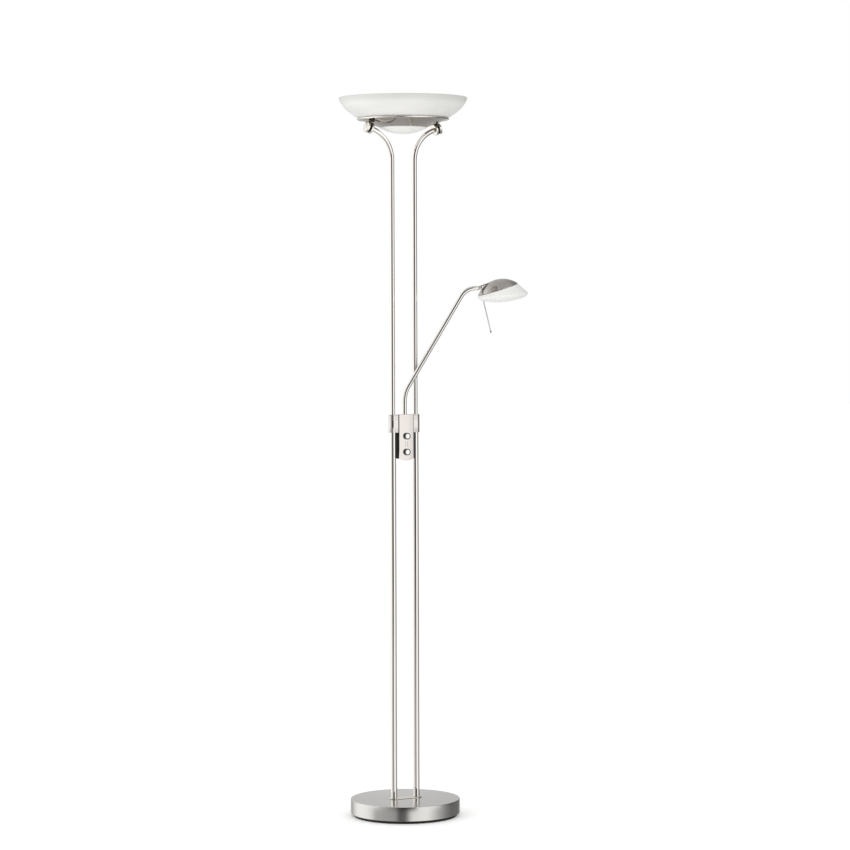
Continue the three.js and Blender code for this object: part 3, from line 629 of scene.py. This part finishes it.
def make_bowl_ring():
    """The bead and cone under the bowl, with a lug for each clamp."""
    under = ring_top(RING_INNER_R) - RING_SHEET
    outer_under = ring_top(RING_OUTER_R) - RING_SHEET
    bead = circle(RING_OUTER_R + 1.6 * MM, outer_under + 0.5 * MM, 2.4 * MM, 20)
    turned("bowl_ring_bead", bead, MATERIAL["clamp"], "bowl_ring", segments=192, closed=True)
    turned("bowl_ring_cone", rounded_loop([
        (RING_INNER_R, under),
        (RING_OUTER_R, outer_under, 0),
        (RING_OUTER_R, ring_top(RING_OUTER_R), 0),
        (RING_INNER_R, ring_top(RING_INNER_R)),
    ], 0.4 * MM), MATERIAL["ring"], "bowl_ring", segments=192, closed=True)
    lug_r, lug_length = 8.5 * MM, 19 * MM
    lug = [(-lug_length, -lug_r), *arc((0, 0), lug_r, -90, 90, 24), (-lug_length, lug_r)]
    hole = circle(0, 0, CLAMP_BORE, 24)
    for side, s in SIDES:
        outline = [(s * x, y) for x, y in lug]
        plate = raised("ring_lug_" + side, outline, *LUG, MATERIAL["ring"], "bowl_ring", pole_end(s),
                       holes=(hole,))
        trim_above_ring(plate)


def trim_above_ring(plate):
    """Cuts a lug off at the underside of the ring's cone."""
    mesh = plate.data
    bm = bmesh.new()
    bm.from_mesh(mesh)
    for vert in bm.verts:
        r = math.hypot(vert.co.x, vert.co.y)
        vert.co.z = min(vert.co.z, ring_top(r) - 0.5 * RING_SHEET)
    bm.to_mesh(mesh)
    bm.free()


def make_lower_glass():
    low = bottom_of("lower_glass")
    rim = RING_INNER_R - 0.8 * MM
    rise = 15 * MM
    sphere = (rim**2 + rise**2) / (2 * rise)

    def dome(radius, reach, steps=20):
        rs = (reach * k / steps for k in range(steps + 1))
        return [(r, low + sphere - math.sqrt(radius**2 - r**2)) for r in rs]

    flange = RING_INNER_R + 7 * MM
    turned("lower_dome", [
        *dome(sphere, rim),
        (rim, ring_top(RING_INNER_R) + GAP),
        (flange, ring_top(flange) + GAP),
        (flange, ring_top(flange) + 3 * MM),
        (rim - 1 * MM, ring_top(rim) + 3 * MM),
        *reversed(dome(sphere - 3 * MM, rim - 3.4 * MM)),
    ], MATERIAL["opal"], "lower_glass", segments=128)


# ---------------------------------------------------------------- lamps


def make_uplight():
    refined("lamp_bridge", MATERIAL["steel"], 0.3 * MM)
    refined("lamp_reflector", MATERIAL["aluminium"], 0.2 * MM)
    refined("guard_glass", MATERIAL["clear"], 0.6 * MM)
    for side, _ in SIDES:
        refined("uplight_holder_" + side, MATERIAL["ceramic"], 0.6 * MM)
        refined("guard_clip_" + side, MATERIAL["steel"], 0.2 * MM)
    half = span("linear_lamp").x / 2
    radius = span("linear_lamp").y / 2
    quartz = [
        (0, -half),
        (1.6 * MM, -half),
        (4 * MM, 2 * MM - half),
        (4 * MM, 9 * MM - half),
        (radius, 11 * MM - half, 2 * MM),
        (radius, half - 11 * MM, 2 * MM),
        (4 * MM, half - 9 * MM),
        (4 * MM, half - 2 * MM),
        (1.6 * MM, half),
        (0, half),
    ]
    place = Matrix.Translation(middle("linear_lamp")) @ TO_X
    turned("quartz_tube", rounded(quartz, 0.5 * MM), MATERIAL["clear"], "linear_lamp", place, 48)


# ---------------------------------------------------------------- switch box


def make_box():
    low, high = bottom_of("box_band"), top_of("box_band")
    groove_depth = 0.55 * MM
    groove_half = 0.45 * MM
    grooves = (top_of("box_top_cap") - 13.1 * MM, top_of("box_top_cap") - 7.6 * MM)
    bands = []
    level = low
    for groove in grooves:
        bands.append((level, groove - groove_half))
        level = groove + groove_half
    bands.append((level, high))
    inner = stadium(BAND_R - 1 * MM)
    for k, (z0, z1) in enumerate(bands):
        raised(f"band_{k}", stadium(BAND_R), z0, z1, MATERIAL["plate"], "box_band", holes=(inner,),
               soften=0.3 * MM)
    for k, z in enumerate(grooves):
        raised(f"band_groove_{k}", stadium(BAND_R - groove_depth), z - groove_half, z + groove_half,
               MATERIAL["plate"], "box_band", holes=(inner,), soften=0)
    bores = [circle(s * POLE_X, 0, UPPER_R + GAP) for _, s in SIDES] + [circle(0, ARM_Y, ARM_R + GAP)]
    raised("top_cap", stadium(BAND_R), bottom_of("box_top_cap"), top_of("box_top_cap"), MATERIAL["plate"],
           "box_top_cap", holes=bores, soften=0.5 * MM)
    make_front_plate(grooves)
    refined("dimmer_housing", MATERIAL["plastic"], 0.8 * MM)
    make_housing_cover()
    for use in ("uplight", "reading"):
        make_knob(use)


def make_front_plate(grooves):
    """The raised plate: its front bulges, its lower end is an arc, and two grooves cross its top."""
    low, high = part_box("front_plate")
    half = high.x
    arc_r = 39 * MM
    bulge = 1.6 * MM
    columns = 36
    depth = 0.5 * MM  # of the grooves
    chamfer = 0.4 * MM  # along the outline

    def lower_edge(x):
        return low.z + arc_r - math.sqrt(arc_r**2 - x * x)

    def front(x):
        return low.y + bulge * (x / half) ** 2

    heights = [high.z - chamfer, high.z]
    for groove in grooves:
        for offset in (-0.5, -0.42, 0.42, 0.5):
            heights.append(groove + offset * MM)
    heights += [high.z - 13 * MM - 12 * MM * k for k in range(8)]
    levels = sorted(heights)
    bm = bmesh.new()
    rows = []
    for z in levels:
        sunk = any(abs(z - g) < 0.45 * MM for g in grooves)
        top_edge = z >= high.z - 1e-7
        row = []
        for k in range(columns + 1):
            x = half * (2 * k / columns - 1)
            edge = k in (0, columns)
            y = front(x) + (depth if sunk else 0) + (chamfer if top_edge or edge else 0)
            row.append(bm.verts.new((x, y, max(z, lower_edge(x) + chamfer))))
        rows.append(row)
    fringe = []
    for k in range(columns + 1):
        x = half * (2 * k / columns - 1)
        fringe.append(bm.verts.new((x, front(x) + chamfer, lower_edge(x))))
    rows.insert(0, fringe)
    back = []
    for row in (rows[0], rows[-1]):
        back.append([bm.verts.new((v.co.x, high.y, v.co.z)) for v in row])
    for a, b in zip(rows, rows[1:]):
        for k in range(columns):
            add_face(bm, (a[k], a[k + 1], b[k + 1], b[k]))
    lower_back, upper_back = back
    for k in range(columns):
        add_face(bm, (lower_back[k + 1], lower_back[k], upper_back[k], upper_back[k + 1]))
        add_face(bm, (lower_back[k], lower_back[k + 1], rows[0][k + 1], rows[0][k]))
        add_face(bm, (rows[-1][k], rows[-1][k + 1], upper_back[k + 1], upper_back[k]))
    for k in (0, columns):
        add_face(bm, [row[k] for row in rows] + [upper_back[k], lower_back[k]])
    bmesh.ops.remove_doubles(bm, verts=bm.verts, dist=1e-6)
    from_bmesh("switch_plate", bm, MATERIAL["plate"], "front_plate", sharp=24)
    make_plate_lines(low.y)


def make_plate_lines(front):
    """Two fine upright ribs between the knobs."""
    wide, tall = 0.25 * MM, 7 * MM
    outline = ((-wide, -tall), (wide, -tall), (wide, tall), (-wide, tall))
    height = (middle("knob_uplight").z + middle("knob_reading").z) / 2
    for side, s in SIDES:
        place = Matrix.Translation((s * 2.9 * MM, front, height)) @ TO_Y
        raised("plate_line_" + side, outline, -0.2 * MM, 0.3 * MM, MATERIAL["grip"], "front_plate",
               place, soften=0.08 * MM)


def add_face(bm, corners):
    """Adds a face unless its corners fall together."""
    unique = []
    for v in corners:
        if not unique or (v.co - unique[-1].co).length > 1e-7:
            unique.append(v)
    if len(unique) > 2 and (unique[0].co - unique[-1].co).length < 1e-7:
        unique.pop()
    if len(unique) > 2:
        bm.faces.new(unique)


def make_housing_cover():
    refined("housing_cover", MATERIAL["plastic"], 0.5 * MM)
    low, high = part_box("housing_cover")
    for k, z in enumerate((low.z + 8 * MM, high.z - 8 * MM)):
        place = Matrix.Translation((0, high.y - 0.5 * MM, z)) @ TO_Y
        turned(f"cover_screw_{k}", rounded([
            (0, 0.1 * MM),
            (1.1 * MM, 0.1 * MM),
            (1.3 * MM, 0.45 * MM),
            (2.9 * MM, 0.45 * MM, 0.3 * MM),
            (2.9 * MM, -0.2 * MM),
            (0, -0.2 * MM),
        ], 0.1 * MM), MATERIAL["steel"], "housing_cover", place, 32)


def make_knob(use):
    """A knob: a dark fluted grip round a chrome cap, with a chrome shaft behind. The grip's darkness is
    painted shade and painted reflection round the knob's rim.
    """
    node = "knob_" + use
    low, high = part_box(node)
    radius = span(node).x / 2
    back = low.y + 6 * MM
    place = Matrix.Translation((0, 0, middle(node).z)) @ TO_Y
    cap_r = radius - 1.9 * MM
    turned(node + "_cap", rounded([
        (0, high.y),
        (3 * MM, high.y),
        (3 * MM, back - 1 * MM, 0),
        (cap_r, back - 1 * MM, 0),
        (cap_r, low.y + 0.9 * MM),
        (cap_r - 0.9 * MM, low.y, 0.6 * MM),
        (cap_r - 1.7 * MM, low.y + 0.5 * MM, 0.5 * MM),
        (0, low.y + 0.3 * MM),
    ], 0.2 * MM), MATERIAL["chrome"], node, place, 72)
    flutes = 30
    outline = []
    for k in range(flutes * 8):
        a = 2 * math.pi * k / (flutes * 8)
        r = radius - 0.45 * MM * (0.5 - 0.5 * math.cos(flutes * a)) ** 2
        outline.append((r * math.cos(a), r * math.sin(a)))
    bore = circle(0, 0, cap_r + 0.05 * MM, 48)
    # The grip is near black: painted shade and painted reflection at the knob's rim.
    raised(node + "_grip", outline, low.y + 0.7 * MM, back, MATERIAL["grip"], node, place, holes=(bore,),
           soften=0.25 * MM)


# ---------------------------------------------------------------- reading arm and head


def make_arm():
    path = bent_stations([
        (0, 0, bottom_of("reading_arm")),
        (ARM_CORNERS[0][0], 0, ARM_CORNERS[0][1]),
        (ARM_CORNERS[1][0], 0, ARM_CORNERS[1][1]),
        (ARM_END[0], 0, ARM_END[1]),
    ], ARM_BENDS)
    tube("arm_tube", path, ARM_R, MATERIAL["tube"], "reading_arm", ARM_FRAME)
    refined("arm_tongue", MATERIAL["clamp"], 0.2 * MM)


def cap_arc(radius, reach, steps):
    """Points down the cap's dome from its top to the given reach."""
    last = math.asin(reach / radius)
    points = []
    for k in range(steps + 1):
        a = last * k / steps
        points.append((radius * math.sin(a), CAP_RISE - CAP_SPHERE + radius * math.cos(a)))
    return points


def shade_rings(inset, steps=14):
    """Rings of the head's glass from its mouth to near its bottom, as (radius, centre, lean)."""
    mouth = Vector((0, 0, -2 * MM))
    rings = [(CAP_R - inset, mouth, 0.0)]
    wide, depth = SHADE_R - inset, SHADE_DEPTH - inset
    middle_x, middle_z = SHADE_CENTRE
    normal = Vector((-math.sin(SHADE_LEAN), 0, -math.cos(SHADE_LEAN)))
    widest = Vector((middle_x, 0, middle_z))
    straight_rings = 6
    for k in range(1, straight_rings):
        t = k / straight_rings
        rings.append(((CAP_R - inset) * (1 - t) + wide * t, mouth.lerp(widest, t), SHADE_LEAN * t))
    for k in range(steps):
        a = math.pi / 2 * k / steps
        rings.append((wide * math.cos(a), widest + normal * depth * math.sin(a), SHADE_LEAN))
    return rings, widest + normal * depth


def make_shade():
    """The head's glass: a shell of even wall, wider and deeper than the cap, and leaning outwards."""
    around = 128
    bm = bmesh.new()

    def ring(radius, centre, lean):
        row = []
        for k in range(around):
            a = 2 * math.pi * k / around
            x = radius * math.cos(a)
            offset = Vector((x * math.cos(lean), radius * math.sin(a), -x * math.sin(lean)))
            row.append(bm.verts.new(centre + offset))
        return row

    shells = []
    for inset in (0, SHADE_WALL):
        rings, bottom = shade_rings(inset)
        rows = [ring(*r) for r in rings]
        for a, b in zip(rows, rows[1:]):
            for k in range(around):
                n = (k + 1) % around
                bm.faces.new((a[k], a[n], b[n], b[k]))
        tip = bm.verts.new(bottom)
        for k in range(around):
            bm.faces.new((rows[-1][k], rows[-1][(k + 1) % around], tip))
        shells.append(rows)
    outer, inner = shells[0][0], shells[1][0]
    for k in range(around):
        n = (k + 1) % around
        bm.faces.new((outer[k], inner[k], inner[n], outer[n]))
    from_bmesh("pebble_shade", bm, MATERIAL["opal"], "head_glass", HEAD_FRAME, 50)


def make_head():
    sheet = 1.2 * MM
    bead = arc((CAP_R - 0.5 * MM, -0.6 * MM), 1 * MM, 30, -180, 10)
    profile = cap_arc(CAP_SPHERE, CAP_R - 0.3 * MM, 32) + bead
    profile += list(reversed(cap_arc(CAP_SPHERE - sheet, CAP_R - 1.7 * MM, 24)))
    # The cap's darker nickel is painted shade.
    turned("cap", profile, MATERIAL["cap"], "head_cap", HEAD_FRAME, 160)
    make_shade()
    refined("head_bracket", MATERIAL["clamp"], 0.3 * MM, 25)
    pin_axis = ARM_FRAME.to_3x3() @ Vector((0, 1, 0))
    pin_place = facing(middle("head_pivot_pin"), pin_axis)
    turned("pivot_pin", rounded([
        (0, -7 * MM),
        (3 * MM, -7 * MM, 0.8 * MM),
        (3 * MM, -5.7 * MM),
        (1.9 * MM, -5.7 * MM),
        (1.9 * MM, 5.7 * MM),
        (3 * MM, 5.7 * MM),
        (3 * MM, 7 * MM, 0.8 * MM),
        (0, 7 * MM),
    ], 0.2 * MM), MATERIAL["chrome"], "head_pivot_pin", pin_place, 40)
    make_handle()


def facing(at, axis):
    """The place of a piece turned about Z, at a point and along an axis."""
    return Matrix.Translation(at) @ axis.to_track_quat("Z", "Y").to_matrix().to_4x4()


def make_handle():
    """The rod that tilts the head, and its slim tip."""
    rod_r = 1.7 * MM
    rod_top = HEAD_FRAME @ Vector((-43 * MM, 0, 2.6 * MM))
    rod_end = HEAD_FRAME @ Vector((-50.2 * MM, 0, -100 * MM))
    length = (rod_end - rod_top).length
    place = facing(rod_top, rod_top - rod_end)
    tip, tip_r = 6 * MM, 2 * MM
    turned("tilt_rod", rounded([
        (0, tip - length),
        (rod_r, tip - length),
        (rod_r, 0),
        (0, 0),
    ], 0.2 * MM), MATERIAL["chrome"], "handle_rod", place, 32)
    # The tip uses the cap's nickel, darkened as painted shade.
    turned("tilt_rod_tip", rounded([
        (0, -length - 1 * MM),
        (tip_r, -length - 1 * MM, 1.2 * MM),
        (tip_r, tip - length - GAP),
        (0, tip - length - GAP),
    ], 0.4 * MM), MATERIAL["cap"], "handle_tip", place, 32)


# ---------------------------------------------------------------- pieces kept from the CAD


def finish_kept_nodes():
    """Nodes inside the lamp keep their CAD shape and get a full material."""
    kept = {
        "base_weight": "iron",
        "box_core": "plastic",
        "arm_bush": "brass",
        "arm_stem": "steel",
        "dimmer_uplight": "plastic",
        "dimmer_reading": "plastic",
        "head_reflector": "aluminium",
        "head_lampholder": "ceramic",
        "head_lamp": "clear",
    }
    for side, _ in SIDES:
        kept["pole_stud_" + side] = "steel"
        kept["pole_nut_" + side] = "steel"
        kept["pole_coupler_" + side] = "brass"
        kept["clamp_screw_" + side] = "steel"
    for k in (1, 2, 3):
        kept[f"glass_clip_{k}"] = "steel"
    for node, material in kept.items():
        obj = frame["nodes"][node]
        for slot in obj.material_slots:
            slot.material = MATERIAL[material]


# ---------------------------------------------------------------- floor, light and camera


def make_stage():
    mesh = bpy.data.meshes.new("studio_floor")
    bm = bmesh.new()
    bmesh.ops.create_circle(bm, cap_ends=True, radius=30, segments=96)
    bm.to_mesh(mesh)
    bm.free()
    floor = bpy.data.objects.new("studio_floor", mesh)
    bpy.context.scene.collection.objects.link(floor)
    n = Nodes("studio_floor")
    n.set(Base_Color=(0.86, 0.86, 0.855, 1), Roughness=0.9, Specular_IOR_Level=0.1)
    n.set(Emission_Color=(1, 1, 1, 1), Emission_Strength=0.2)
    mesh.materials.append(n.material)
    floor.visible_glossy = False


# Brightness of the studio's panels, by the angle in degrees from the camera's side, to its right.
PANELS = (
    (-180, 0.68), (-165, 0.70), (-150, 0.80), (-136, 1.00), (-118, 1.35), (-90, 1.35), (-66, 1.25),
    (-52, 0.75), (-30, 0.36), (-20, 0.24), (-13, 0.02), (19, 0.02), (24, 0.70), (29, 1.30), (60, 1.25),
    (76, 1.00), (86, 0.45), (100, 0.16), (112, 0.08), (150, 0.10), (165, 0.40), (180, 0.68),
)
# The same near the floor.
LOW_PANELS = (
    (-180, 0.68), (-165, 0.60), (-150, 0.50), (-136, 0.95), (-118, 1.35), (-90, 1.30), (-76, 1.05),
    (-66, 0.60), (-30, 0.50), (-19, 0.45), (-14, 0.12), (1, 0.14), (7, 0.60), (14, 1.15), (46, 1.25),
    (60, 0.95), (74, 0.60), (95, 0.33), (112, 0.20), (150, 0.20), (165, 0.45), (180, 0.68),
)
# Shares by height, from 0 straight down to 1 straight up: of the low panels, and of an even grey.
NEAR_FLOOR = ((0, 1), (0.43, 1), (0.455, 0))
EVEN_ENDS = ((0, 1), (0.025, 1), (0.11, 0), (0.775, 0), (0.95, 1))
EVEN_GREY = 0.62


def make_world():
    """A plain white studio, in which the glossy metal sees bright and dark upright panels all round."""
    world = bpy.data.worlds.new("studio")
    bpy.context.scene.world = world
    world.use_nodes = True
    tree = world.node_tree
    link = tree.links.new
    direction = tree.nodes.new("ShaderNodeTexCoord").outputs["Generated"]

    turn = tree.nodes.new("ShaderNodeMapping")
    turn.inputs["Rotation"].default_value = (0, 0, math.pi / 2 + CAMERA_AZIMUTH)
    radial = tree.nodes.new("ShaderNodeTexGradient")
    radial.gradient_type = "RADIAL"
    link(direction, turn.inputs["Vector"])
    link(turn.outputs["Vector"], radial.inputs["Vector"])
    panels, low_panels = (
        grey_ramp(tree, radial.outputs["Fac"], [(0.5 + angle / 360, value) for angle, value in stops])
        for stops in (PANELS, LOW_PANELS)
    )

    split = tree.nodes.new("ShaderNodeSeparateXYZ")
    height = tree.nodes.new("ShaderNodeMapRange")
    height.inputs["From Min"].default_value = -1
    link(direction, split.inputs["Vector"])
    link(split.outputs["Z"], height.inputs["Value"])
    near_floor, even_ends = (
        grey_ramp(tree, height.outputs["Result"], stops) for stops in (NEAR_FLOOR, EVEN_ENDS)
    )

    walls = blend(tree, near_floor, panels, low_panels)
    room = blend(tree, even_ends, walls, EVEN_GREY)
    glossy = tree.nodes.new("ShaderNodeLightPath").outputs["Is Glossy Ray"]
    background = tree.nodes["Background"]
    link(blend(tree, glossy, 1, room), background.inputs["Color"])
    background.inputs["Strength"].default_value = 1.0


def grey_ramp(tree, value, stops):
    """The grey at a value from 0 to 1, between stops of place and brightness."""
    node = tree.nodes.new("ShaderNodeValToRGB")
    elements = node.color_ramp.elements
    elements.remove(elements[-1])
    for k, (position, brightness) in enumerate(stops):
        element = elements.new(position) if k else elements[0]
        element.position = position
        element.color = (brightness, brightness, brightness, 1)
    tree.links.new(value, node.inputs["Fac"])
    return node.outputs["Color"]


def blend(tree, factor, a, b):
    """A mix of two greys, each a socket or a brightness."""
    node = tree.nodes.new("ShaderNodeMix")
    node.data_type = "RGBA"
    tree.links.new(factor, node.inputs[0])
    for socket, value in ((node.inputs[6], a), (node.inputs[7], b)):
        if isinstance(value, bpy.types.NodeSocket):
            tree.links.new(value, socket)
        else:
            socket.default_value = (value, value, value, 1)
    return node.outputs[2]


def light_from(angle, distance, height, width, tall, power):
    """An upright soft box, at an angle in degrees from the camera's side, to its right."""
    a = math.radians(angle) - math.pi / 2 - CAMERA_AZIMUTH
    at = Vector((distance * math.cos(a), distance * math.sin(a), height))
    light = bpy.data.lights.new("soft_box", "AREA")
    light.shape = "RECTANGLE"
    light.size, light.size_y = width, tall
    light.energy = power
    obj = bpy.data.objects.new("soft_box", light)
    obj.location = at
    obj.rotation_euler = (-at.to_2d().to_3d()).to_track_quat("-Z", "Y").to_euler()
    obj.visible_glossy = False
    bpy.context.scene.collection.objects.link(obj)


CAMERA_AZIMUTH = math.radians(28)
CAMERA_DISTANCE = 7.168
EYE_HEIGHT = 1.286
PITCH = math.radians(2.37)
YAW = math.radians(0.423)
ROLL = math.radians(0.18)
LENS = 120.45  # mm, on a 36 mm sensor


def make_camera():
    camera = bpy.data.cameras.new("camera")
    camera.sensor_width = 36
    camera.lens = LENS
    camera.clip_end = 200
    obj = bpy.data.objects.new("camera", camera)
    place = Matrix.Translation((
        -math.sin(CAMERA_AZIMUTH) * CAMERA_DISTANCE,
        -math.cos(CAMERA_AZIMUTH) * CAMERA_DISTANCE,
        EYE_HEIGHT,
    ))
    heading = Matrix.Rotation(-CAMERA_AZIMUTH - YAW, 4, "Z")
    obj.matrix_world = (
        place @ heading @ Matrix.Rotation(math.pi / 2 - PITCH, 4, "X") @ Matrix.Rotation(-ROLL, 4, "Z")
    )
    bpy.context.scene.collection.objects.link(obj)
    bpy.context.scene.camera = obj


make_base()
make_poles()
make_clamps()
make_bowl()
make_lower_glass()
make_uplight()
make_box()
make_arm()
make_head()
finish_kept_nodes()
make_stage()
make_world()
light_from(-50, 4.0, 1.6, 1.4, 3.0, 26)
make_camera()
bpy.context.scene.view_settings.view_transform = "Standard"
